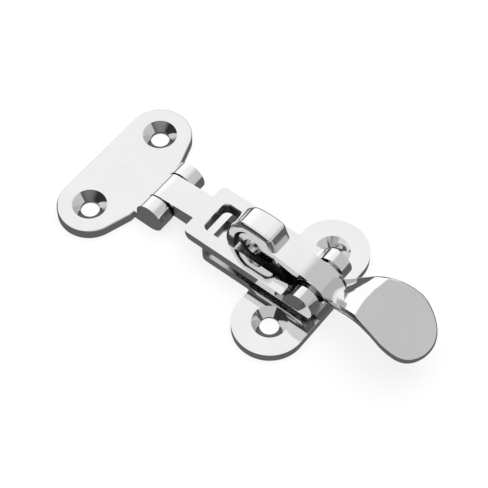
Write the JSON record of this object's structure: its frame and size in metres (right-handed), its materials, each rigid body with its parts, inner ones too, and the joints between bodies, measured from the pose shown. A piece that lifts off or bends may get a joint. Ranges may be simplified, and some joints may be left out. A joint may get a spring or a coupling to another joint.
{
  "type": "toggle bolt latch",
  "caption": "Polished metal hold-down latch: a hinged strap with an over-centre lever hooks over an eyed horn on a screw-down base plate and takes a padlock.",
  "frame": {"origin": "on the mounting surface, midway between the two screw holes of the base plate", "axes": "+X from the hinge plate towards the paddle of the lever, +Z away from the mounting surface, +Y completes the right-handed set"},
  "size_m": [0.1103, 0.048, 0.0209],
  "materials": {
    "hinge_plate": "cast stainless steel, mirror polished",
    "hinge_pin": "turned stainless steel pin, ends ground flush",
    "strap": "cast stainless steel, mirror polished",
    "lever_pin": "turned stainless steel pin, ends ground flush",
    "lever": "cast stainless steel, mirror polished",
    "base_plate": "cast stainless steel, mirror polished"
  },
  "bodies": {
    "mount": {"hinge_plate": "hinge_plate", "hinge_pin": "hinge_pin", "base_plate": "base_plate"},
    "strap": {"strap": "strap", "lever_pin": "lever_pin"},
    "lever": {"lever": "lever"}
  },
  "joints": [
    {"name": "strap_hinge", "type": "hinge", "parent": "mount", "child": "strap", "pos_m": [-0.0446, 0, 0.0045], "axis": [0, -1, 0], "range_deg": [0, 110]},
    {"name": "lever_pivot", "type": "hinge", "parent": "strap", "child": "lever", "pos_m": [0.0053, 0, 0.0094], "axis": [0, -1, 0], "range_deg": [0, 55]}
  ],
  "couplings": [
    {"joint": "lever_pivot", "follows": "strap_hinge", "ratio": 0.5}
  ]
}
